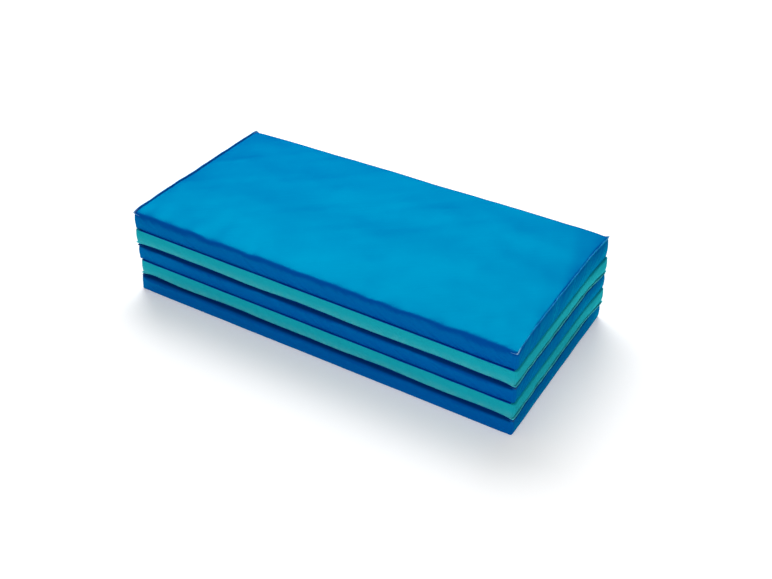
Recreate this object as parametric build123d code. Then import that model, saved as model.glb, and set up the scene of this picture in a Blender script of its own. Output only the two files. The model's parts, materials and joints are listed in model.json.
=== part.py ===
from build123d import *

import os

# Folding gym mat: five foam panels in vinyl covers, joined by four cloth hinges and folded like a concertina.
#
# Lengths are in millimetres. X runs along the panels, Y across them and Z up. The origin is the centre of the
# stack's footprint, on the floor. Panel 1 is the top of the stack and panel 5 the bottom.
#
# Each panel has an outer side, covered by a sheet that wraps down over both long edges, and an inner side,
# covered by a flat sheet. The panels lie in the stack outer side up and outer side down by turns, so when the
# mat is laid out flat, every outer side faces up. Each piece is modelled on a panel that lies outer side up
# with its inner side at height 0, and is then placed in the stack.

# Panels
PANEL_COUNT = 5
PANEL_LENGTH = 1219.0
PANEL_WIDTH = 610.0
PANEL_THICKNESS = 50.8
EDGE_RADIUS = 16.0  # where the wrap cover turns down over a long edge

# Covers
VINYL = 0.8
FOAM_CLEARANCE = 0.5  # between the foam and its cover, on every side
SEAM_FLANGE = 6.0  # two plies of vinyl stand out this far along the seams at the short ends

# Hinges
FOLD_GAP = 2.0  # between stacked panels, where the folded hinge strips lie
HINGE_STANDOFF = 1.0  # a hinge line lies this far outside the panels' long edges
STRIP_THICKNESS = 0.7
STRIP_LEAF = 40.0  # the width of each half, of which the part past the rounded edge is sewn to a panel
STRIP_END_MARGIN = 8.0  # a strip stops this far short of the panels' ends

# Values worked out from those above
PITCH = PANEL_THICKNESS + FOLD_GAP
FLAT_WIDTH = PANEL_WIDTH - 2 * EDGE_RADIUS  # the flat of the outer side, between its rounded edges
HINGE_LINE_Y = PANEL_WIDTH / 2 + HINGE_STANDOFF

PARTS_FOLDER = "parts"
NEAR, FAR = -1, 1  # the long sides, towards -Y and +Y
LEFT, RIGHT = -1, 1  # the short ends, towards -X and +X


def arch(half_width, bottom, top, radius):
    """A section across the panel, in the YZ plane, with its two upper corners rounded."""
    outline = Plane.YZ * Pos(0, (bottom + top) / 2) * Rectangle(2 * half_width, top - bottom)
    return fillet(outline.vertices().group_by(Axis.Z)[-1], radius)


def inside_section(gap=0.0):
    """The section inside a panel's cover, less a gap."""
    inset = VINYL + gap
    return arch(PANEL_WIDTH / 2 - inset, inset, PANEL_THICKNESS - inset, EDGE_RADIUS - inset)


def foam_core():
    """The foam block that fills the cover."""
    length = PANEL_LENGTH - 2 * (VINYL + FOAM_CLEARANCE)
    return extrude(inside_section(FOAM_CLEARANCE), amount=length / 2, both=True)


def wrap_cover():
    """The outer side's sheet. It turns down over the long edges, and runs out past the ends as seam plies."""
    outside_section = arch(PANEL_WIDTH / 2, VINYL, PANEL_THICKNESS, EDGE_RADIUS)
    channel = extrude(outside_section - inside_section(), amount=PANEL_LENGTH / 2, both=True)
    top_with_plies = Box(PANEL_LENGTH + 2 * SEAM_FLANGE, FLAT_WIDTH, VINYL)
    return channel + Pos(0, 0, PANEL_THICKNESS - VINYL / 2) * top_with_plies


def face_sheet():
    """The inner side's flat sheet."""
    return Pos(0, 0, VINYL / 2) * Box(PANEL_LENGTH, PANEL_WIDTH, VINYL)


def end_gusset(end):
    """The wall that closes the cover at a short end. Its top turns outwards as the seam's lower ply."""
    wall = extrude(inside_section(), amount=VINYL / 2, both=True)
    ply = Box(SEAM_FLANGE, FLAT_WIDTH, VINYL)
    wall_x = end * (PANEL_LENGTH - VINYL) / 2
    ply_x = end * (PANEL_LENGTH + SEAM_FLANGE) / 2
    return Pos(wall_x, 0, 0) * wall + Pos(ply_x, 0, PANEL_THICKNESS - 1.5 * VINYL) * ply


def hinge_strip(side):
    """A strip of cloth folded along its length, its fold on the hinge line and its leaves running inwards."""
    outer = FOLD_GAP / 2
    inner = outer - STRIP_THICKNESS
    leaves = Pos(-side * STRIP_LEAF / 2, 0)
    section = Circle(outer) + leaves * Rectangle(STRIP_LEAF, 2 * outer)
    section -= Circle(inner) + leaves * Rectangle(STRIP_LEAF, 2 * inner)
    length = PANEL_LENGTH - 2 * STRIP_END_MARGIN
    return extrude(Plane.YZ * section, amount=length / 2, both=True)


def panel_base(number):
    """The height of a panel's underside in the stack."""
    return (PANEL_COUNT - number) * PITCH


def in_the_stack(piece, number):
    """A panel's piece in its place in the stack. Even-numbered panels lie outer side down."""
    if number % 2 == 0:
        piece = Pos(0, 0, PANEL_THICKNESS) * Rot(180, 0, 0) * piece
    return Pos(0, 0, panel_base(number)) * piece


def write(piece, name):
    """One STEP file for each named piece."""
    piece.label = name
    export_step(piece, os.path.join(PARTS_FOLDER, name + ".step"))


os.makedirs(PARTS_FOLDER, exist_ok=True)

panel_pieces = {
    "foam_core": foam_core(),
    "wrap_cover": wrap_cover(),
    "face_sheet": face_sheet(),
    "left_gusset": end_gusset(LEFT),
    "right_gusset": end_gusset(RIGHT),
}
for number in range(1, PANEL_COUNT + 1):
    for piece_name, piece in panel_pieces.items():
        write(in_the_stack(piece, number), f"panel_{number}_{piece_name}")

# Panels 1 and 2 are hinged along the near side, 2 and 3 along the far side, and so on by turns.
for upper in range(1, PANEL_COUNT):
    side = NEAR if upper % 2 else FAR
    hinge_line_z = panel_base(upper) - FOLD_GAP / 2
    write(Pos(0, side * HINGE_LINE_Y, hinge_line_z) * hinge_strip(side), f"hinge_strip_{upper}_{upper + 1}")
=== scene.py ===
import json
import math
from collections import namedtuple

import bpy
import numpy as np
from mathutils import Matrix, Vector


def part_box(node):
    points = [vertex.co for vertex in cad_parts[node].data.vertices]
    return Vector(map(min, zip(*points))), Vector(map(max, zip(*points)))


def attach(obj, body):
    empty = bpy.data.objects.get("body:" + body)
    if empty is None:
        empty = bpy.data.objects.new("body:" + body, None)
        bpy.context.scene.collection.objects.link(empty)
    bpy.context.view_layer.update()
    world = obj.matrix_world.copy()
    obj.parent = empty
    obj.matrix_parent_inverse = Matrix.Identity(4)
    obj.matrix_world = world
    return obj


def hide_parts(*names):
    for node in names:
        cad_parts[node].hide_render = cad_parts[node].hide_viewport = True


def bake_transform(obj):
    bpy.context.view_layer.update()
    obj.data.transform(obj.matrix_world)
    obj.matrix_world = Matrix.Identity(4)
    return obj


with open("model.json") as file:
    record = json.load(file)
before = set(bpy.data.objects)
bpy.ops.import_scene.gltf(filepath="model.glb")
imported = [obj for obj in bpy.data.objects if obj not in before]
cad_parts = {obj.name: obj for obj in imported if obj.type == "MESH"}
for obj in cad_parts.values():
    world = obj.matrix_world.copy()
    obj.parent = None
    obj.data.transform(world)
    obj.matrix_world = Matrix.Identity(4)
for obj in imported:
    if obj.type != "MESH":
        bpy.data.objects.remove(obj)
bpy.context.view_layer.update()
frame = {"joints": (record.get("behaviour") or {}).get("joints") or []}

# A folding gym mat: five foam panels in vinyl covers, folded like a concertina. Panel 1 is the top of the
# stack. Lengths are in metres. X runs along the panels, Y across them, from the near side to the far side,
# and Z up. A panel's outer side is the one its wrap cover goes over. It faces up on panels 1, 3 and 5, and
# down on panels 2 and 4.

MM = 0.001
PANELS = (1, 2, 3, 4, 5)
NEAR, FAR = -1, 1
LEFT, RIGHT = -1, 1
SIDE_NAMES = {LEFT: "left", RIGHT: "right"}

# The grid that a cover is made on: the distances of its lines from a side, and the cells between them
END_STEPS = np.array([0, 2, 4, 6.5, 10, 15, 21, 28, 36, 46, 57, 70]) * MM
LONG_SIDE_STEPS = np.array([0, 2, 4.5, 8, 12, 17, 23, 31, 40, 52]) * MM
THICKNESS_STEPS = np.array([0, 1.5, 3.5, 6, 9, 12.5, 16.5, 21]) * MM
CELL = 13 * MM

# Rounding at a cover's edges, as (reach across the face, reach down the wall)
CORNER_ROUND = 10 * MM
END_EDGE = 4 * MM
INNER_EDGE = (4 * MM, 3 * MM)
OUTER_EDGE_UP = (26 * MM, 17 * MM)  # with the panel above lying on it
OUTER_EDGE_DOWN = (15 * MM, 11 * MM)
TOP_EDGE_NEAR = (10 * MM, 14 * MM)
TOP_EDGE_FAR = (8 * MM, 6 * MM)
OUTER_EDGE_AT_END = (CORNER_ROUND, 9 * MM)
FIRM_LENGTH = 50 * MM  # the end seams hold the long edges firm for this far

# How the covers swell and shift
CROWN = 12 * MM  # the top of the stack swells by this much
SHOULDER = 5.5 * MM  # of which this much rises close to the near side
SHOULDER_WIDTH = 36 * MM
CROWN_WIDTH = 170 * MM
FAR_SWELL = 3.2 * MM  # more, along the far side's right half
FAR_SWELL_WIDTH = 0.5
FAR_SWELL_LENGTH = 0.24
FAR_SWELL_X = 0.36
LEAN = 8 * MM  # the stack's top lies this much further left than its bottom
SEAM_PULL = 4.0 * MM  # the end seams draw the edges of the outer side in by this much
TOP_SEAM_PULL = 3.5 * MM
SEAM_PULL_REACH = 45 * MM
SEAM_PULL_CORNER = 90 * MM  # and less this close to a corner
NEAR_LEFT_BULGE = {1: 5 * MM, 2: 7 * MM, 3: 6 * MM, 4: 2 * MM, 5: 6 * MM}
NEAR_LEFT_BULGE_LENGTH = 0.3
FAR_RIGHT_BULGE = {1: 4 * MM, 2: 7 * MM, 3: 4 * MM, 4: 6 * MM, 5: 1 * MM}
FAR_RIGHT_BULGE_LENGTH = 0.14
GAP_SWELL = 0.7 * MM  # the pressed faces swell into the gaps between the panels, clear of the hinge strips
STRIP_REACH = 45 * MM  # the strips' leaves lie within this of their side
STRIP_CLEARING = 20 * MM  # past them, the faces swell up over this width

# How far the walls stand out. A wall that another lies against when the mat is open has little room.
ROOM_BY_A_WALL = 0.8 * MM
ROOM_BY_A_FOLD = -0.7 * MM
WALL_SET_BACK = 1.4 * MM
WALL_PILLOW = 1.3 * MM  # more than its edges, at mid-height
WALL_DRAWN_IN = 1.6 * MM  # towards the inner side
FREE_WALL_OUT = 1.5 * MM
FREE_WALL_PILLOW = 2.5 * MM
FREE_WALL_PILLOW_LENGTH = 0.3
FREE_WALL_TURN = 3 * MM  # the near wall's left end stands out by this much, and its right end back
END_PILLOW = 2.5 * MM

# The waves in the covers, as (shortest and longest wavelength, height). Where there are two heights, the
# first is for the free top of the stack, and the second for a face that another panel presses.
DENTS = (0.16, 0.42), 0.9 * MM, 0.15 * MM
RIPPLES = (0.05, 0.12), 0.22 * MM, 0.1 * MM
EDGE_RIPPLES = (0.05, 0.16), 1.0 * MM, 0.1 * MM
EDGE_RIPPLE_WIDTH = 60 * MM
PUCKERS = (0.014, 0.035), 0.35 * MM
PUCKER_LENGTH = 14 * MM
WALL_FOLDS = (0.045, 0.13), 0.45 * MM
WALL_SWAYS = (0.25, 0.6), 0.5 * MM
END_FOLDS = (0.05, 0.14), 0.5 * MM

FOAM_INSET = 4 * MM
WALL_PAINTED_REFLECTION = 0.5  # how far the teal walls are painted paler low down, a painted reflection of the pale floor, from 0 to 1
CREASE_SHADE = 8.5 * MM  # how far the painted shade in an open crease reaches
SKIN = 0.8 * MM

# Cloth simulation, with how firmly each kind of place is held, from 0 to 1
GROWTH = 0.006  # the vinyl is this share larger than its shape
WALL_HOLD = 0.2
TOP_HOLD = 0.55
EDGE_HOLD = 0.85
PRESSED_HOLD = 0.8
HOLD_LEVELS = 20
WRINKLE_CAP = 2.0 * MM
FRAMES = 20
SOFTENING = 8  # times that each point's shift is averaged with its neighbours'


# ------------------------ small helpers


def smooth(t):
    """0 up to t = 0, 1 from t = 1, and an S-shaped ramp between."""
    t = np.clip(t, 0, 1)
    return t * t * (3 - 2 * t)


def waves(seed, at, lengths, count=7):
    """A smooth random field at each row of coordinates, of about unit height: the sum of a few waves."""
    random = np.random.default_rng(seed)
    total = np.zeros(len(at))
    for _ in range(count):
        direction = random.normal(size=at.shape[1])
        direction /= np.linalg.norm(direction)
        wavelength = random.uniform(*lengths)
        total += np.cos(at @ direction * 2 * math.pi / wavelength + random.uniform(0, 2 * math.pi))
    return total * math.sqrt(2 / count)


def mark(piece, name, amounts):
    """Amounts from 0 to 1 at a piece's points, for its material to read: rubbing with painted highlight and
    reflection, painted glint and highlight, painted shade, or slack.
    """
    attribute = piece.data.attributes.new(name, "FLOAT", "POINT")
    attribute.data.foreach_set("value", np.ascontiguousarray(amounts, dtype=np.float32))


def mesh_object(name, points, faces):
    mesh = bpy.data.meshes.new(name)
    mesh.from_pydata([tuple(p) for p in points], [], [tuple(int(i) for i in f) for f in faces])
    mesh.validate()
    mesh.shade_smooth()
    made = bpy.data.objects.new(name, mesh)
    bpy.context.scene.collection.objects.link(made)
    return made


def finish_piece(piece, body, material):
    """Gives a piece its material and its body. A hinge strip has none here."""
    piece.data.materials.append(material)
    if body:
        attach(piece, body)


def body_name(panel):
    return f"panel_{panel}"


def outward(panel):
    """1 where the panel's outer side faces up, and -1 where it faces down."""
    return 1 if panel % 2 else -1


def panel_box(panel):
    """The lowest and highest corner of a panel's cover, without its seam flanges."""
    face_low, face_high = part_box(f"panel_{panel}_face_sheet")
    wrap_low, wrap_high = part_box(f"panel_{panel}_wrap_cover")
    low = np.array([face_low.x, face_low.y, min(face_low.z, wrap_low.z)])
    high = np.array([face_high.x, face_high.y, max(face_high.z, wrap_high.z)])
    return low, high


# ------------------------ the covers


def grid_lines(half, steps):
    """Grid lines from -half to half: near both ends as steps says, and about a CELL apart between."""
    inner = half - steps[-1]
    middle = np.linspace(-inner, inner, max(1, round(2 * inner / CELL)) + 1)
    return np.concatenate([-half + steps[:-1], middle, half - steps[-2::-1]])


class Shell:
    """The surface of a box on grid lines, as points and quads. Each quad knows its side of the box."""

    def __init__(self, lines):
        counts = [len(line) for line in lines]
        self.last = [count - 1 for count in counts]
        self.number = -np.ones(counts, int)
        surface = np.zeros(counts, bool)
        for axis in range(3):
            for end in (0, -1):
                surface[tuple(end if a == axis else slice(None) for a in range(3))] = True
        where = np.argwhere(surface)
        self.number[tuple(where.T)] = np.arange(len(where))
        self.points = np.stack([lines[a][where[:, a]] for a in range(3)], axis=1)
        self.quads, self.sides = [], []
        for axis in range(3):
            for end in (0, -1):
                sheet = self.number[tuple(end if a == axis else slice(None) for a in range(3))]
                if axis == 1:
                    sheet = sheet.T
                quads = np.stack([sheet[:-1, :-1], sheet[1:, :-1], sheet[1:, 1:], sheet[:-1, 1:]], axis=-1)
                quads = quads.reshape(-1, 4)
                if end == 0:
                    quads = quads[:, ::-1]
                self.quads.append(quads)
                self.sides += [(axis, end)] * len(quads)
        self.quads = np.concatenate(self.quads)

    def normals(self, points):
        """The outward normals, once the points have been moved to these."""
        corners = points[self.quads]
        across = np.cross(corners[:, 2] - corners[:, 0], corners[:, 3] - corners[:, 1])
        total = np.zeros_like(points)
        for corner in range(4):
            np.add.at(total, self.quads[:, corner], across)
        return total / np.linalg.norm(total, axis=1, keepdims=True)

    def softened(self, values, times):
        """Values at the points, each averaged with its neighbours' a number of times."""
        ends = np.stack([self.quads, np.roll(self.quads, -1, axis=1)], axis=-1).reshape(-1, 2)
        count = np.bincount(ends.ravel(), minlength=len(values))[:, None]
        for _ in range(times):
            total = np.zeros_like(values)
            np.add.at(total, ends[:, 0], values[ends[:, 1]])
            np.add.at(total, ends[:, 1], values[ends[:, 0]])
            values = 0.5 * values + 0.5 * total / count
        return values

    def on_side(self, axis, end):
        """The quads on one side of the box."""
        return self.quads[[i for i, side in enumerate(self.sides) if side == (axis, end)]]


def edge_reach(panel, points, half):
    """How far the rounding of the nearest long edge reaches, across the face and down the wall."""
    firm = smooth((half[0] - np.abs(points[:, 0])) / FIRM_LENGTH)
    near_edge = far_edge = OUTER_EDGE_UP if outward(panel) > 0 else OUTER_EDGE_DOWN
    if panel == PANELS[0]:
        near_edge, far_edge = TOP_EDGE_NEAR, TOP_EDGE_FAR
    outer = points[:, 2] > 0
    near = points[:, 1] < 0
    vary = 0.15 * waves(100 * panel + 9, points[:, :1], (0.2, 0.5)) * near
    reach = []
    for part in (0, 1):
        at_end = OUTER_EDGE_AT_END[part]
        middle = np.where(near, near_edge[part], far_edge[part]) * (1 + vary)
        outer_reach = at_end + (middle - at_end) * firm
        inner_reach = INNER_EDGE[part] if part else at_end + (INNER_EDGE[0] - at_end) * firm
        reach.append(np.where(outer, outer_reach, inner_reach))
    return reach


def rounded(panel, points, half):
    """The box's points, moved in so that its edges and corners are rounded."""
    across, down = edge_reach(panel, points, half)
    upright = 1 - (points[:, 2] / half[2]) ** 4
    reach = np.stack([END_EDGE + (CORNER_ROUND - END_EDGE) * upright, across, down], axis=1)
    start = np.asarray(half) - reach
    share = np.clip((np.abs(points) - start) / reach, 0, 1)
    square = share**2
    moved = np.empty_like(points)
    for axis in range(3):
        a, b = (square[:, other] for other in range(3) if other != axis)
        bend = np.sqrt(1 - a / 2 - b / 2 + a * b / 3)
        size = np.minimum(np.abs(points[:, axis]), start[:, axis]) + reach[:, axis] * share[:, axis] * bend
        moved[:, axis] = np.sign(points[:, axis]) * size
    return moved


def clear_of_strip(from_side):
    """0 where a hinge strip's leaf lies along the face, and 1 well away from it."""
    return smooth((from_side - STRIP_REACH) / STRIP_CLEARING)


def wall_room(panel, side):
    """How far a wall on this long side may stand out, as it lies against another when the mat is open. The
    bottom panel's near wall never does, and the top panel's far wall meets the fold of a hinge strip."""
    if panel == PANELS[-1] and side == NEAR:
        return None
    return ROOM_BY_A_FOLD if panel == PANELS[0] and side == FAR else ROOM_BY_A_WALL


def relief(panel, points, normals, half):
    """How far each point of a cover stands out from the rounded box: bulges, hollows and wrinkles."""
    x, y, z = points.T
    seed = 100 * panel
    from_end = half[0] - np.abs(x)
    from_long = half[1] - np.abs(y)
    outer = np.clip(normals[:, 2], 0, 1) ** 2
    inner = np.clip(-normals[:, 2], 0, 1) ** 2
    wall = np.clip(np.abs(normals[:, 1]), 0, 1) ** 2
    end = np.clip(np.abs(normals[:, 0]), 0, 1) ** 2
    xy = points[:, :2]
    free = panel == PANELS[0]

    def wave(step, at, kind):
        lengths, *heights = kind
        return waves(seed + step, at, lengths) * (heights[0] if free else heights[-1])

    near_edge = np.exp(-from_long / EDGE_RIPPLE_WIDTH) * smooth(from_end / FIRM_LENGTH) * (y < 0)
    face = wave(1, xy, DENTS) + wave(2, xy, RIPPLES) + wave(3, x[:, None], EDGE_RIPPLES) * near_edge
    face += wave(4, y[:, None], PUCKERS) * np.exp(-from_end / PUCKER_LENGTH)
    if not free:
        face += GAP_SWELL * clear_of_strip(half[1] - y)
    inner_face = 0.0
    if panel != PANELS[-1]:
        inner_face = GAP_SWELL * clear_of_strip(half[1] + y)

    height = z / half[2]  # -1 at the inner side and 1 at the outer side
    pillow = 1 - height**2
    folds = wave(5, np.stack([x, 0.6 * z], axis=1), WALL_FOLDS) + wave(6, x[:, None], WALL_SWAYS)
    side_wall = folds * smooth(pillow * 2)
    for side in (NEAR, FAR):
        if wall_room(panel, side):
            drawn_in = WALL_DRAWN_IN * smooth((0.1 - height) / 1.1)
            shape = -WALL_SET_BACK + WALL_PILLOW * pillow - drawn_in
        else:
            swell = FREE_WALL_PILLOW * pillow * smooth(from_end / FREE_WALL_PILLOW_LENGTH)
            shape = FREE_WALL_OUT + swell + FREE_WALL_TURN * side * x / half[0]
        side_wall += np.where(np.sign(y) == side, shape, 0)

    end_folds = wave(7, np.stack([y, 0.6 * z], axis=1), END_FOLDS)
    end_wall = END_PILLOW * pillow + end_folds * smooth(pillow * 2)
    return outer * face + inner * inner_face + wall * side_wall + end * end_wall


def settled(panel, points, half):
    """How each point of a cover shifts as the mat lies folded, for a panel whose outer side faces up."""
    x, y, z = points.T
    shift = np.zeros_like(points)
    height = z / half[2]
    from_end = half[0] - np.abs(x)
    from_long = half[1] - np.abs(y)
    shift[:, 0] += LEAN * (panel - np.mean(PANELS)) / (len(PANELS) - 1)
    near_left = np.hypot(half[0] + x, half[1] + y)
    shift[:, 0] -= NEAR_LEFT_BULGE[panel] * smooth(1 - near_left / NEAR_LEFT_BULGE_LENGTH)
    far_right = np.hypot(half[0] - x, half[1] - y)
    shift[:, 0] += FAR_RIGHT_BULGE[panel] * smooth(1 - far_right / FAR_RIGHT_BULGE_LENGTH)

    pull = TOP_SEAM_PULL if panel == PANELS[0] else SEAM_PULL
    pull = pull * (0.4 + 0.6 * smooth(from_long / SEAM_PULL_CORNER))
    near_end = smooth(1 - from_end / SEAM_PULL_REACH)
    shift[:, 0] -= np.sign(x) * pull * near_end * smooth((height - 0.1) / 0.9)

    if panel == PANELS[0]:
        from_near = half[1] + y
        shoulder = SHOULDER * (1 - (1 - np.clip(from_near / SHOULDER_WIDTH, 0, 1)) ** 2)
        crown = shoulder + (CROWN - SHOULDER) * smooth(from_near / CROWN_WIDTH)
        far_left = np.hypot(half[0] + x, half[1] - y)
        # It is fuller to the right, and flatter by the ends and at the far left corner
        crown *= 1 + 0.08 * smooth((x / half[0] + 0.3) / 0.9)
        along = np.exp(-(((x - FAR_SWELL_X) / FAR_SWELL_LENGTH) ** 2))
        crown += FAR_SWELL * smooth(from_near / FAR_SWELL_WIDTH) * along
        crown *= (1 - 0.15 * np.exp(-from_end / 0.03)) * (1 - 0.4 * np.exp(-far_left / 0.08))
        shift[:, 2] += crown * smooth((height + 0.3) / 1.3)
    return shift


# A panel's closed cover: its grid, its points in the row frame, and the half size and centre of its box
Cover = namedtuple("Cover", "panel shell points half centre")


def shaped_cover(panel):
    """A panel's cover, swollen, shifted and rippled, before any simulation."""
    low, high = panel_box(panel)
    centre, half = (low + high) / 2, (high - low) / 2
    up = outward(panel)
    steps = (END_STEPS, LONG_SIDE_STEPS, THICKNESS_STEPS)
    shell = Shell([grid_lines(half[axis], steps[axis]) for axis in range(3)])
    points = rounded(panel, shell.points, half)
    normals = shell.normals(points)
    points = points + normals * relief(panel, points, normals, half)[:, None] + settled(panel, points, half)
    points[:, 2] *= up
    if up < 0:
        shell.quads = shell.quads[:, ::-1]
    return Cover(panel, shell, points + centre, half, centre)


def hold_weights(cover):
    """How firmly each point of a cover is held: 1 on the seams and at the hinges, less where it is free."""
    z = cover.shell.points[:, 2]
    from_sides = cover.half - np.abs(cover.shell.points)
    nearest_two = np.sort(from_sides, axis=1)[:, 1]
    along_x = np.argmax(from_sides, axis=1) == 0
    edge = 1 - smooth(nearest_two / 0.012)
    edge *= np.where(along_x & (z > 0), EDGE_HOLD, 1.0)
    on_face = np.argmin(from_sides, axis=1) == 2
    is_top = on_face & (z > 0) & (cover.panel == PANELS[0])
    inside = np.where(is_top, TOP_HOLD, np.where(on_face, PRESSED_HOLD, WALL_HOLD))
    return np.maximum(edge, inside)


def simulate(covers):
    """Cloth simulation of all the covers at once: the vinyl is a little larger than its shape, and air
    presses it out, so that it wrinkles between its seams. The points move by at most WRINKLE_CAP."""
    sheets = []
    for cover in covers:
        sheet = mesh_object(f"simulated_{cover.panel}", cover.points, cover.shell.quads)
        weights = hold_weights(cover)
        hold = sheet.vertex_groups.new(name="hold")
        for level in range(HOLD_LEVELS + 1):
            near = np.flatnonzero(np.round(weights * HOLD_LEVELS) == level).tolist()
            if near:
                hold.add(near, level / HOLD_LEVELS, "REPLACE")
        cloth = sheet.modifiers.new("cloth", "CLOTH")
        settings = cloth.settings
        settings.quality = 5
        settings.mass = 0.3
        settings.tension_stiffness = 15
        settings.compression_stiffness = 15
        settings.shear_stiffness = 8
        settings.bending_stiffness = 0.3
        settings.vertex_group_mass = "hold"
        settings.pin_stiffness = 1.0
        settings.shrink_min = -GROWTH
        settings.shrink_max = -GROWTH
        settings.use_pressure = True
        settings.uniform_pressure_force = 1.5
        settings.effector_weights.gravity = 0
        cloth.collision_settings.use_collision = False
        cloth.point_cache.frame_start = 1
        cloth.point_cache.frame_end = FRAMES
        sheets.append(sheet)
    for frame_number in range(1, FRAMES + 1):
        bpy.context.scene.frame_set(frame_number)
    graph = bpy.context.evaluated_depsgraph_get()
    for cover, sheet in zip(covers, sheets):
        moved = np.empty(cover.points.size)
        sheet.evaluated_get(graph).data.vertices.foreach_get("co", moved)
        shift = moved.reshape(-1, 3) - cover.points
        shift = cover.shell.softened(shift, SOFTENING)
        size = np.linalg.norm(shift, axis=1, keepdims=True)
        shift *= np.minimum(1, WRINKLE_CAP / np.maximum(size, 1e-9))
        cover.points[:] += shift
        mesh = sheet.data
        bpy.data.objects.remove(sheet)
        bpy.data.meshes.remove(mesh)
    bpy.context.scene.frame_set(1)


def keep_clear(cover):
    """Keeps a cover's points out of the space of the panels it lies against, of the floor, and of what it
    meets when the mat is open."""
    panel, half = cover.panel, cover.half
    x, y, z = (cover.points - cover.centre).T
    up = outward(panel)
    outer_room = math.inf if panel == PANELS[0] else GAP_SWELL * clear_of_strip(half[1] - y)
    inner_room = 0.0 if panel == PANELS[-1] else GAP_SWELL * clear_of_strip(half[1] + y)
    z = np.clip(z * up, -half[2] - inner_room, half[2] + outer_room) * up
    for side in (NEAR, FAR):
        room = wall_room(panel, side)
        if room:
            y = np.where(y * side > half[1] + room, side * (half[1] + room), y)
    cover.points[:] = np.stack([x, y, z], axis=1) + cover.centre


def cover_marks(cover):
    """Where a cover's material changes: paler low down on the teal walls, as a painted reflection of the
    pale floor; darker with painted shade in the open creases under the teal panels; and creased where the
    walls are slack."""
    panel, half = cover.panel, cover.half
    x, y, z = cover.shell.points.T
    normals = cover.shell.normals(cover.points)
    down = smooth((z + 0.3 * half[2]) / (1.3 * half[2]))
    teal = outward(panel) < 0
    # Painted reflection: the teal walls are painted paler towards the bottom, standing in for the pale floor
    # they reflect
    wear = WALL_PAINTED_REFLECTION * down * np.abs(normals[:, 1]) if teal else np.zeros(len(x))
    shade = np.zeros(len(x))
    # Painted shade: the near upper shoulder of the blue panels under the teal ones is painted darker, where
    # the crease lies in shadow
    if not teal and panel != PANELS[0]:
        from_edge = np.hypot(half[1] + y, half[2] - z)
        shade = smooth(1.25 - from_edge / CREASE_SHADE) * smooth((half[0] - np.abs(x)) / 0.012)
    slack = 0.15 + 0.85 * (1 - np.abs(normals[:, 2]))
    return {"wear": wear, "shade": shade, "slack": slack}


def cut_out(cover, quads, name, marks):
    """Some of a cover's quads as a sheet of their own, with the skin's thickness on the inside."""
    used, faces = np.unique(quads, return_inverse=True)
    faces = faces.reshape(quads.shape)
    outside = cover.points[used]
    inside = outside - cover.shell.normals(cover.points)[used] * SKIN
    count = len(used)
    edges = dict.fromkeys((a, b) for face in faces for a, b in zip(face, np.roll(face, -1)))
    rim = [(b, a, a + count, b + count) for a, b in edges if (b, a) not in edges]
    solid = [*faces.tolist(), *(faces[:, ::-1] + count).tolist(), *rim]
    piece = mesh_object(name, np.concatenate([outside, inside]), solid)
    for mark_name, amounts in marks.items():
        mark(piece, mark_name, np.tile(amounts[used], 2))
    return piece


def make_cover(cover, material):
    """The wrap cover, the face sheet and the two gussets of a panel, and its foam."""
    panel, shell = cover.panel, cover.shell
    body = body_name(panel)
    marks = cover_marks(cover)
    wrap_quads = np.concatenate([shell.on_side(2, -1), shell.on_side(1, 0), shell.on_side(1, -1)])
    parts = {
        "wrap_cover": wrap_quads,
        "face_sheet": shell.on_side(2, 0),
        "left_gusset": shell.on_side(0, 0),
        "right_gusset": shell.on_side(0, -1),
    }
    for node, quads in parts.items():
        piece = cut_out(cover, quads, f"panel_{panel}_{node}_vinyl", marks)
        finish_piece(piece, body, material)
        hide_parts(f"panel_{panel}_{node}")
        if node == "wrap_cover":
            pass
        elif node == "face_sheet":
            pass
        else:
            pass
    inside = cover.points - shell.normals(cover.points) * FOAM_INSET
    foam = mesh_object(f"panel_{panel}_foam", inside, shell.quads)
    finish_piece(foam, body, FOAM)
    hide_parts(f"panel_{panel}_foam_core")


# ------------------------ the seams

FLANGE_THICK = 1.6 * MM
FLANGE_ROOT = 1.5 * MM  # how deep its foot is sunk in the cover
FLANGE_TURN = 0.022  # a seam runs on round each corner for this far, and dies away
FLANGE_SWING = 0.03  # a flange swings round over this much of its length before each corner
FLANGE_SECTION = [(-1, 0), (-1, 0.9), (-0.62, 1), (-0.12, 0.93), (0.12, 0.93), (0.62, 1), (1, 0.9), (1, 0)]
FLANGE_TIPS = [0, 0.5, 1, 1, 1, 1, 0.5, 0]  # which corners of its section are painted lighter, partly for rubbing and partly as a painted highlight
FLANGE_WAVES = (0.03, 0.11)
SEAM_STEP = 5 * MM
CORNER_GLINT_REACH = 14 * MM  # how far the painted glint on the flanges reaches from each corner
STITCH = 3.2 * MM
STITCH_STEP = 5.2 * MM
THREAD = 0.45 * MM
# Places along a stitch, and its radius there, as shares of STITCH and THREAD
STITCH_PROFILE = [(-0.5, 0.15), (-0.36, 0.85), (0.0, 1.0), (0.36, 0.85), (0.5, 0.15)]
STITCH_SIDES = 6

# A flange leans outwards along X by the first amount, and towards the panel's outer side by the second
# A flange's tips are painted lighter, partly for rubbing and partly as a painted highlight where they catch
# the light. Its shade field is painted shade, for the dark gap under a teal panel; its corner glint and tip
# highlight fields are painted highlights.
Flange = namedtuple("Flange", "lean height waviness wear shade corner_chalk tip_chalk")
TOP_FLANGE = Flange((0.15, 0.99), 7.9 * MM, 0.4, wear=1.0, shade=0.0, corner_chalk=1.0, tip_chalk=0.0)
TEAL_FLANGE = Flange((1.0, -0.05), 5.2 * MM, 1.0, wear=1.0, shade=0.0, corner_chalk=0.5, tip_chalk=0.8)
FLANGE_UNDER_TEAL = Flange((1.0, -0.05), 3.4 * MM, 1.0, wear=0.2, shade=0.6, corner_chalk=0.2, tip_chalk=0.0)


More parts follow.
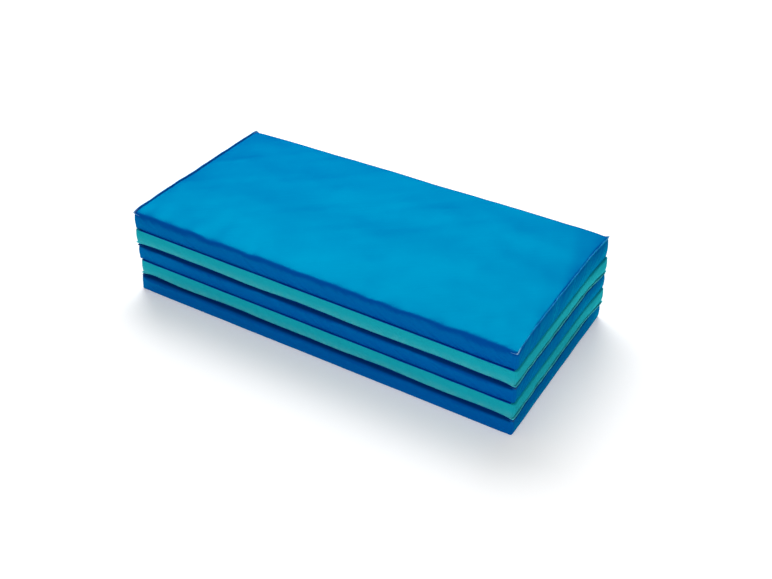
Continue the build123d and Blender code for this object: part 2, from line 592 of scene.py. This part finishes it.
def flange_kind(panel):
    if panel == PANELS[0]:
        return TOP_FLANGE
    return TEAL_FLANGE if outward(panel) < 0 else FLANGE_UNDER_TEAL


def unit(vectors):
    return vectors / np.maximum(np.linalg.norm(vectors, axis=-1, keepdims=True), 1e-9)


def distances(path):
    """How far along a path each of its points is."""
    gaps = np.linalg.norm(np.diff(path, axis=0), axis=1)
    return np.concatenate([[0], np.cumsum(gaps)])


def read_along(at, length, rows):
    """Rows of values that are known at some distances along a path, read at others."""
    return np.stack([np.interp(at, length, column) for column in rows.T], axis=1)


def seam_path(cover, end):
    """The points of the edge where wrap cover meets gusset, near side to far side, with a short run round
    each corner, and how full the flange is at each: 1 along the end, down to 0 round the corners."""
    shell = cover.shell
    i_end, inwards = (0, 1) if end == LEFT else (shell.last[0], -1)
    turn = [step for step in range(1, len(END_STEPS)) if END_STEPS[step] <= FLANGE_TURN]
    runs = []
    for j in (0, shell.last[1]):
        runs.append([shell.number[i_end + inwards * step, j, shell.last[2]] for step in turn])
    along = [shell.number[i_end, j, shell.last[2]] for j in range(shell.last[1] + 1)]
    fading = np.linspace(0.75, 0.0, len(turn))
    full = np.concatenate([fading[::-1], np.ones(len(along)), fading])
    return cover.points[runs[0][::-1] + along + runs[1]], full


def flange_directions(panel, end, path, full, round_corner, at):
    """At each step along a seam, the way its flange stands out, and how tall it is."""
    kind = flange_kind(panel)
    lean_out, lean_up = kind.lean
    seed = 1000 + 10 * panel + end
    at = at[:, None]
    direction = np.zeros_like(path)
    direction[:, 0] = end * (lean_out + 0.10 * kind.waviness * waves(seed, at, FLANGE_WAVES))
    direction[:, 0] *= np.where(full < 1, 0.35, 1)
    direction[:, 1] = 0.85 * round_corner
    direction[:, 2] = outward(panel) * (lean_up + 0.08 * kind.waviness * waves(seed + 3, at, FLANGE_WAVES))
    ear = np.exp(-(((1 - np.abs(round_corner)) / 0.25) ** 2)) * (full >= 1)
    uneven = 0.5 * kind.waviness * waves(seed + 5, at, (0.04, 0.2)) + ear
    return unit(direction), (kind.height + uneven * MM) * smooth(full)


def swept(name, rings):
    """A closed solid through rings of points."""
    steps, around = rings.shape[:2]
    faces = []
    for s in range(steps - 1):
        for k in range(around):
            a, b = s * around + k, s * around + (k + 1) % around
            faces.append((a, b, b + around, a + around))
    faces.append(tuple(reversed(range(around))))
    faces.append(tuple(range((steps - 1) * around, steps * around)))
    return mesh_object(name, rings.reshape(-1, 3), faces)


def make_seam(cover, end, material, slot):
    """The flange where wrap cover and gusset are sewn together, with a row of stitches on each face."""
    panel = cover.panel
    kind = flange_kind(panel)
    path, full = seam_path(cover, end)
    from_middle = path[:, 1] - cover.centre[1]
    past_swing = np.abs(from_middle) - cover.half[1] + FLANGE_SWING
    round_corner = np.sign(from_middle) * smooth(past_swing / FLANGE_SWING)
    length = distances(path)
    at = np.linspace(0, length[-1], round(length[-1] / SEAM_STEP) + 1)
    full = np.interp(at, length, full)
    round_corner = np.interp(at, length, round_corner)
    path = read_along(at, length, path)
    direction, tall = flange_directions(panel, end, path, full, round_corner, at)
    across = unit(np.cross(unit(np.gradient(path, axis=0)), direction))
    half_thick = FLANGE_THICK / 2 * (0.35 + 0.65 * full)

    rings = []
    for side, up in FLANGE_SECTION:
        rise = up * (tall + FLANGE_ROOT) - FLANGE_ROOT
        rings.append(path + across * (side * half_thick)[:, None] + direction * rise[:, None])
    name = f"panel_{panel}_{SIDE_NAMES[end]}_seam"
    seam = swept(f"{name}_flange", np.stack(rings, axis=1))
    finish_piece(seam, body_name(panel), material)

    # The flange's tips get the lighter colour, partly rubbing and partly a painted highlight; painted glints
    # near each corner and painted highlights along the teal flanges' tips; painted shade on the flanges
    # under the teal panels
    tips = np.tile(FLANGE_TIPS, len(path))
    from_corner = np.abs(np.abs(path[:, 1] - cover.centre[1]) - cover.half[1])
    chalk = kind.corner_chalk * np.exp(-((from_corner / CORNER_GLINT_REACH) ** 2)) * np.where(full < 1, 0.35, 1)
    mark(seam, "wear", tips * kind.wear)
    mark(seam, "shade", np.full(len(tips), kind.shade))
    mark(seam, "chalk", np.maximum(np.repeat(chalk, len(FLANGE_SECTION)), tips * kind.tip_chalk))

    sewn = full > 0.9
    rows = []
    for side in (-1, 1):
        stand = side * (half_thick + 0.3 * THREAD)
        line = path + direction * (0.45 * tall)[:, None] + across * stand[:, None]
        rows.append((line[sewn], across[sewn] * side))
    threads = stitch_rows(f"{name}_thread", rows)
    finish_piece(threads, body_name(panel), THREADS[slot])


def stitch_rows(name, rows):
    """Rows of stitches on a surface with these normals, each a short rounded bar of thread along its row."""
    points, faces = [], []
    around = STITCH_SIDES
    for line, normals in rows:
        length = distances(line)
        count = int(length[-1] // STITCH_STEP)
        centres = (np.arange(count) + 0.5) * length[-1] / count
        middle = read_along(centres, length, line)
        start = read_along(centres - STITCH / 2, length, line)
        end = read_along(centres + STITCH / 2, length, line)
        along = unit(end - start)
        up = unit(read_along(centres, length, normals))
        side = unit(np.cross(along, up))
        for c, t, u, s in zip(middle, along, up, side):
            first = len(points)
            for reach, thick in STITCH_PROFILE:
                for k in range(around):
                    angle = 2 * math.pi * k / around
                    out = s * math.cos(angle) + u * math.sin(angle)
                    points.append(c + t * reach * STITCH + out * thick * THREAD)
            for ring in range(len(STITCH_PROFILE) - 1):
                for k in range(around):
                    a = first + ring * around + k
                    b = first + ring * around + (k + 1) % around
                    faces.append((a, a + around, b + around, b))
            faces.append(tuple(first + k for k in range(around)))
            last = first + (len(STITCH_PROFILE) - 1) * around
            faces.append(tuple(last + k for k in reversed(range(around))))
    return mesh_object(name, points, faces)


# ------------------------ the hinges

STRIP = 0.7 * MM
STRIP_RINGS = 100
LEAF_SHARES = np.array([1.0, 0.9, 0.7, 0.45, 0.22, 0.08])  # where a leaf has points, from edge to fold
HINGE_STITCH_INSET = 4 * MM


def strip_line(side, radius, leaf):
    """The middle line of a folded strip's section, as Y and Z from the hinge line, and its outer normals."""
    line, normals = [], []
    for share in LEAF_SHARES:
        line.append((-side * share * leaf, -radius))
        normals.append((0, -1))
    for angle in np.linspace(-math.pi / 2, math.pi / 2, 9):
        normals.append((side * math.cos(angle), math.sin(angle)))
        line.append((radius * normals[-1][0], radius * normals[-1][1]))
    for share in LEAF_SHARES[::-1]:
        line.append((-side * share * leaf, radius))
        normals.append((0, 1))
    return np.array(line), np.array(normals)


def strip_faces(steps, around, side):
    """The faces of a folded strip: its rings are C-shaped, so each end is closed by a row of quads."""
    faces = []
    for s in range(steps - 1):
        for k in range(around):
            a, b = s * around + k, s * around + (k + 1) % around
            faces.append((a, b, b + around, a + around) if side > 0 else (a, a + around, b + around, b))
    for first, turned in ((0, side < 0), ((steps - 1) * around, side > 0)):
        last = first + around - 1
        for k in range(around // 2 - 1):
            face = [first + k, first + k + 1, last - 1 - k, last - k]
            faces.append(face if turned else face[::-1])
    return faces


def make_hinge(upper, material, slot):
    """The folded strip between a panel and the one below it, sewn to each along its leaf's edge."""
    lower = upper + 1
    node = f"hinge_strip_{upper}_{lower}"
    low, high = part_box(node)
    joint = next(j for j in frame["joints"] if j["child"] == body_name(upper))
    _, axis_y, axis_z = joint["pos_m"]
    side = NEAR if axis_y < 0 else FAR
    middle_radius = (high.z - low.z) / 2 - STRIP / 2
    leaf = (high.y - low.y) - (high.z - low.z) / 2
    line, normals = strip_line(side, middle_radius, leaf)
    outline = np.concatenate([line + normals * STRIP / 2, (line - normals * STRIP / 2)[::-1]])
    xs = np.linspace(low.x, high.x, STRIP_RINGS)
    shift = side * waves(40 + upper, xs[:, None], (0.06, 0.3)) * 0.25 * MM
    points = [(x, axis_y + dy + y, axis_z + z) for x, dy in zip(xs, shift) for y, z in outline]
    faces = strip_faces(len(xs), len(outline), side)
    strip = mesh_object(f"{node}_cloth", points, faces)
    finish_piece(strip, None, material)
    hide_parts(node)
    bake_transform(strip)
    for panel, up in ((lower, -1), (upper, 1)):
        y = axis_y - side * (leaf - HINGE_STITCH_INSET)
        z = axis_z + up * (middle_radius - STRIP / 2 - 0.1 * THREAD)
        row = np.array([(low.x + STITCH, y, z), (high.x - STITCH, y, z)])
        facing = np.array([(0, 0, -up)] * 2, float)
        threads = stitch_rows(f"{node}_thread_{panel}", [(row, facing)])
        finish_piece(threads, body_name(panel), THREADS[slot])


# ------------------------ materials


def new_material(name):
    material = bpy.data.materials.new(name)
    material.use_nodes = True
    return material, material.node_tree, material.node_tree.nodes["Principled BSDF"]


def place(tree):
    """A point's own place in its piece, for a texture to read."""
    return tree.nodes.new("ShaderNodeTexCoord").outputs["Object"]


def noise(tree, scale, detail=3.0, roughness=0.5, distortion=0.0):
    node = tree.nodes.new("ShaderNodeTexNoise")
    node.inputs["Scale"].default_value = scale
    node.inputs["Detail"].default_value = detail
    node.inputs["Roughness"].default_value = roughness
    node.inputs["Distortion"].default_value = distortion
    tree.links.new(place(tree), node.inputs["Vector"])
    return node.outputs["Fac"]


def mapped(tree, value, low, high, from_low=0.3, from_high=0.7):
    node = tree.nodes.new("ShaderNodeMapRange")
    node.inputs["From Min"].default_value = from_low
    node.inputs["From Max"].default_value = from_high
    node.inputs["To Min"].default_value = low
    node.inputs["To Max"].default_value = high
    tree.links.new(value, node.inputs["Value"])
    return node.outputs["Result"]


def mixed_colour(tree, share, first, second):
    node = tree.nodes.new("ShaderNodeMix")
    node.data_type = "RGBA"
    tree.links.new(share, node.inputs["Factor"])
    for socket, colour in ((node.inputs["A"], first), (node.inputs["B"], second)):
        if isinstance(colour, tuple):
            socket.default_value = (*colour, 1)
        else:
            tree.links.new(colour, socket)
    return node.outputs["Result"]


def bump(tree, height, strength, distance, previous=None):
    node = tree.nodes.new("ShaderNodeBump")
    node.inputs["Strength"].default_value = strength
    node.inputs["Distance"].default_value = distance
    tree.links.new(height, node.inputs["Height"])
    if previous is not None:
        tree.links.new(previous, node.inputs["Normal"])
    return node.outputs["Normal"]


def attribute(tree, name):
    node = tree.nodes.new("ShaderNodeAttribute")
    node.attribute_name = name
    return node.outputs["Fac"]


def calculated(tree, operation, *values):
    node = tree.nodes.new("ShaderNodeMath")
    node.operation = operation
    for socket, value in zip(node.inputs, values):
        if isinstance(value, float):
            socket.default_value = value
        else:
            tree.links.new(value, socket)
    return node.outputs["Value"]


def creases(tree):
    """Long slanting creases: noise drawn out along a slope."""
    node = tree.nodes.new("ShaderNodeTexNoise")
    node.inputs["Scale"].default_value = 1.0
    node.inputs["Detail"].default_value = 2.0
    node.inputs["Distortion"].default_value = 0.3
    turn = tree.nodes.new("ShaderNodeMapping")
    turn.vector_type = "TEXTURE"
    turn.inputs["Rotation"].default_value = (0.6, 0.55, 0.0)
    turn.inputs["Scale"].default_value = (0.09, 0.09, 0.008)
    tree.links.new(place(tree), turn.inputs["Vector"])
    tree.links.new(turn.outputs["Vector"], node.inputs["Vector"])
    return node.outputs["Fac"]


def glossed(tree, shader, tint, roughness, normal, dulled):
    """A gloss over a shader. A deep blue or green film colours what it reflects, as the tint says."""
    gloss = tree.nodes.new("ShaderNodeBsdfAnisotropic")
    gloss.inputs["Color"].default_value = (*tint, 1)
    tree.links.new(roughness, gloss.inputs["Roughness"])
    fresnel = tree.nodes.new("ShaderNodeFresnel")
    fresnel.inputs["IOR"].default_value = 1.3
    for node in (gloss, fresnel, shader):
        tree.links.new(normal, node.inputs["Normal"])
    shader.inputs["Specular IOR Level"].default_value = 0.0
    share = calculated(tree, "MULTIPLY_ADD", fresnel.outputs["Fac"], 0.30, 0.055)
    share = calculated(tree, "MULTIPLY", share, calculated(tree, "SUBTRACT", 1.0, dulled))
    mix = tree.nodes.new("ShaderNodeMixShader")
    tree.links.new(share, mix.inputs["Fac"])
    tree.links.new(shader.outputs["BSDF"], mix.inputs[1])
    tree.links.new(gloss.outputs["BSDF"], mix.inputs[2])
    output = next(n for n in tree.nodes if n.type == "OUTPUT_MATERIAL")
    tree.links.new(mix.outputs["Shader"], output.inputs["Surface"])


# Colours of the painted glints and highlights on the seam flanges
HIGHLIGHT_COLOUR = (0.50, 0.74, 0.90)
TEAL_HIGHLIGHT_COLOUR = (0.12, 0.92, 0.98)


def vinyl(name, colour, deep, worn_and_lit, tint, chalk=HIGHLIGHT_COLOUR):
    """Vinyl-coated cloth: an even colour with faint clouding and streaks, paler where rubbing has paled it
    and where a highlight or reflection is painted on, paler still at painted glints, darker with painted
    shade that also dulls its sheen, with a fine pebbled grain, creases where it is slack, and a soft sheen
    that varies a little."""
    material, tree, shader = new_material(name)
    clouds = mapped(tree, noise(tree, 2.2, 2.0), 0.0, 0.6)
    streaks = calculated(tree, "MULTIPLY", mapped(tree, creases(tree), 0.0, 0.8), attribute(tree, "slack"))
    base = mixed_colour(tree, calculated(tree, "ADD", clouds, streaks), colour, deep)
    patchy = mapped(tree, noise(tree, 60.0, 3.0), 0.3, 1.0)
    # Paler where rubbing has paled it, and where a highlight or a reflection of the floor is painted on
    wear_and_light_share = calculated(tree, "MULTIPLY", attribute(tree, "wear"), patchy)
    shade = attribute(tree, "shade")
    pale = mixed_colour(tree, wear_and_light_share, base, worn_and_lit)
    # Painted glints and highlights, lighter still
    highlight_share = calculated(tree, "MULTIPLY", attribute(tree, "chalk"), patchy)
    pale = mixed_colour(tree, highlight_share, pale, chalk)
    # Painted shade: darker where the shade attribute says, in the open creases and the gaps under the teal
    # panels
    dark = tuple(0.45 * c for c in deep)
    tree.links.new(mixed_colour(tree, shade, pale, dark), shader.inputs["Base Color"])
    roughness = mapped(tree, noise(tree, 9.0, 4.0), 0.32, 0.42)
    tree.links.new(roughness, shader.inputs["Roughness"])
    grain = bump(tree, noise(tree, 900.0, 2.0), 0.10, 0.15 * MM)
    soft = bump(tree, noise(tree, 30.0, 3.0, 0.55, 0.4), 0.05, 2.0 * MM, grain)
    creased = calculated(tree, "MULTIPLY", creases(tree), attribute(tree, "slack"))
    soft = bump(tree, creased, 0.8, 4.0 * MM, soft)
    # The painted shade also dulls the gloss
    glossed(tree, shader, tint, roughness, soft, calculated(tree, "MULTIPLY", shade, 0.8))
    return material


def thread(name, colour):
    """Twisted polyester thread."""
    material, tree, shader = new_material(name)
    wave = tree.nodes.new("ShaderNodeTexWave")
    wave.inputs["Scale"].default_value = 700.0
    wave.inputs["Distortion"].default_value = 1.5
    tree.links.new(place(tree), wave.inputs["Vector"])
    darker = tuple(c * 0.6 for c in colour)
    tree.links.new(mixed_colour(tree, wave.outputs["Fac"], darker, colour), shader.inputs["Base Color"])
    tree.links.new(bump(tree, wave.outputs["Fac"], 0.4, 0.1 * MM), shader.inputs["Normal"])
    shader.inputs["Roughness"].default_value = 0.6
    return material


def foam_material():
    """Open-cell foam: cream, with fine pores."""
    material, tree, shader = new_material("foam")
    cells = tree.nodes.new("ShaderNodeTexVoronoi")
    cells.inputs["Scale"].default_value = 600.0
    tree.links.new(place(tree), cells.inputs["Vector"])
    pores = mapped(tree, cells.outputs["Distance"], 0.0, 1.0, 0.1, 0.6)
    colour = mixed_colour(tree, pores, (0.42, 0.38, 0.28), (0.78, 0.74, 0.62))
    tree.links.new(colour, shader.inputs["Base Color"])
    tree.links.new(bump(tree, pores, 0.6, 0.5 * MM), shader.inputs["Normal"])
    shader.inputs["Roughness"].default_value = 0.95
    return material


def floor_material():
    material, tree, shader = new_material("floor")
    clouds = mapped(tree, noise(tree, 0.6, 2.0), 0.0, 1.0)
    colour = mixed_colour(tree, clouds, (0.92, 0.92, 0.92), (0.94, 0.94, 0.94))
    tree.links.new(colour, shader.inputs["Base Color"])
    shader.inputs["Roughness"].default_value = 0.9
    shader.inputs["Emission Color"].default_value = (1, 1, 1, 1)
    shader.inputs["Emission Strength"].default_value = 0.2
    return material


# Each vinyl's lighter colour serves for rubbing and for its painted highlights and reflections
BLUE = vinyl(
    "blue_vinyl",
    colour=(0.0, 0.052, 0.325),
    deep=(0.0, 0.046, 0.305),
    worn_and_lit=(0.03, 0.32, 0.80),
    tint=(0.0, 1.0, 1.0),
)
TEAL = vinyl(
    "teal_vinyl",
    colour=(0.003, 0.305, 0.385),
    deep=(0.003, 0.285, 0.36),
    worn_and_lit=(0.11, 0.39, 0.40),
    tint=(0.08, 1.0, 1.0),
    chalk=TEAL_HIGHLIGHT_COLOUR,
)
TAPE = vinyl(
    "hinge_cloth",
    colour=(0.0, 0.03, 0.30),
    deep=(0.0, 0.027, 0.28),
    worn_and_lit=(0.02, 0.14, 0.42),
    tint=(0.05, 1.0, 1.0),
)
FOAM = foam_material()
THREADS = {
    "blue_vinyl": thread("blue_thread", (0.01, 0.10, 0.36)),
    "teal_vinyl": thread("teal_thread", (0.02, 0.30, 0.33)),
    "hinge_cloth": thread("hinge_thread", (0.01, 0.09, 0.30)),
}


# ------------------------ the stage


def make_stage():
    bpy.ops.mesh.primitive_grid_add(x_subdivisions=4, y_subdivisions=4, size=80)
    floor = bpy.context.object
    floor.name = "floor"
    floor.data.materials.append(floor_material())

    world = bpy.data.worlds.new("studio")
    bpy.context.scene.world = world
    world.use_nodes = True
    background = world.node_tree.nodes["Background"]
    background.inputs["Color"].default_value = (1, 1, 1, 1)
    background.inputs["Strength"].default_value = 0.34


CAMERA_AZIMUTH = 32.47
CAMERA_ELEVATION = 33.43
CAMERA_DISTANCE = 3.269
CAMERA_TARGET = (-0.130, 0.009, 0.132)
CAMERA_LENS = 50.9
CAMERA_SHIFT = (0.0706, -0.0510)
LAMP_DISTANCE = 4.0
LAMP_AIM_HEIGHT = 0.15


def direction_from(azimuth, elevation):
    """The direction from the mat to something at this bearing: 0 is the near side, and 90 the right end."""
    a, e = math.radians(azimuth), math.radians(elevation)
    return Vector((math.sin(a) * math.cos(e), -math.cos(a) * math.cos(e), math.sin(e)))


def make_camera():
    data = bpy.data.cameras.new("camera")
    data.lens = CAMERA_LENS
    data.sensor_width = 36
    data.shift_x, data.shift_y = CAMERA_SHIFT
    back = direction_from(CAMERA_AZIMUTH, CAMERA_ELEVATION)
    camera = bpy.data.objects.new("camera", data)
    camera.location = Vector(CAMERA_TARGET) + back * CAMERA_DISTANCE
    camera.rotation_euler = (-back).to_track_quat("-Z", "Y").to_euler()
    bpy.context.scene.collection.objects.link(camera)
    bpy.context.scene.camera = camera


def area_light(name, azimuth, elevation, size, power):
    """A rectangular softbox, aimed at the middle of the mat."""
    lamp = bpy.data.lights.new(name, "AREA")
    lamp.shape = "RECTANGLE"
    lamp.size, lamp.size_y = size
    lamp.energy = power
    made = bpy.data.objects.new(name, lamp)
    back = direction_from(azimuth, elevation)
    made.location = back * LAMP_DISTANCE + Vector((0, 0, LAMP_AIM_HEIGHT))
    made.rotation_euler = (-back).to_track_quat("-Z", "Y").to_euler()
    bpy.context.scene.collection.objects.link(made)
    return made


def make_lights():
    """A big softbox above and behind the mat, which shows in its top's gloss, and a weak fill in front."""
    area_light("softbox", CAMERA_AZIMUTH + 181.5, 50, (3.65, 3.2), 178)
    fill = area_light("fill", CAMERA_AZIMUTH - 4, 24, (3.0, 2.0), 61)
    fill.visible_glossy = False


# ------------------------ the assembly

make_camera()
make_stage()
make_lights()
bpy.context.scene.view_settings.view_transform = "Standard"

covers = [shaped_cover(panel) for panel in PANELS]
simulate(covers)
for cover in covers:
    keep_clear(cover)
    slot, material = ("blue_vinyl", BLUE) if outward(cover.panel) > 0 else ("teal_vinyl", TEAL)
    make_cover(cover, material)
    for end in (LEFT, RIGHT):
        make_seam(cover, end, material, slot)

for upper in PANELS[:-1]:
    make_hinge(upper, TAPE, "hinge_cloth")
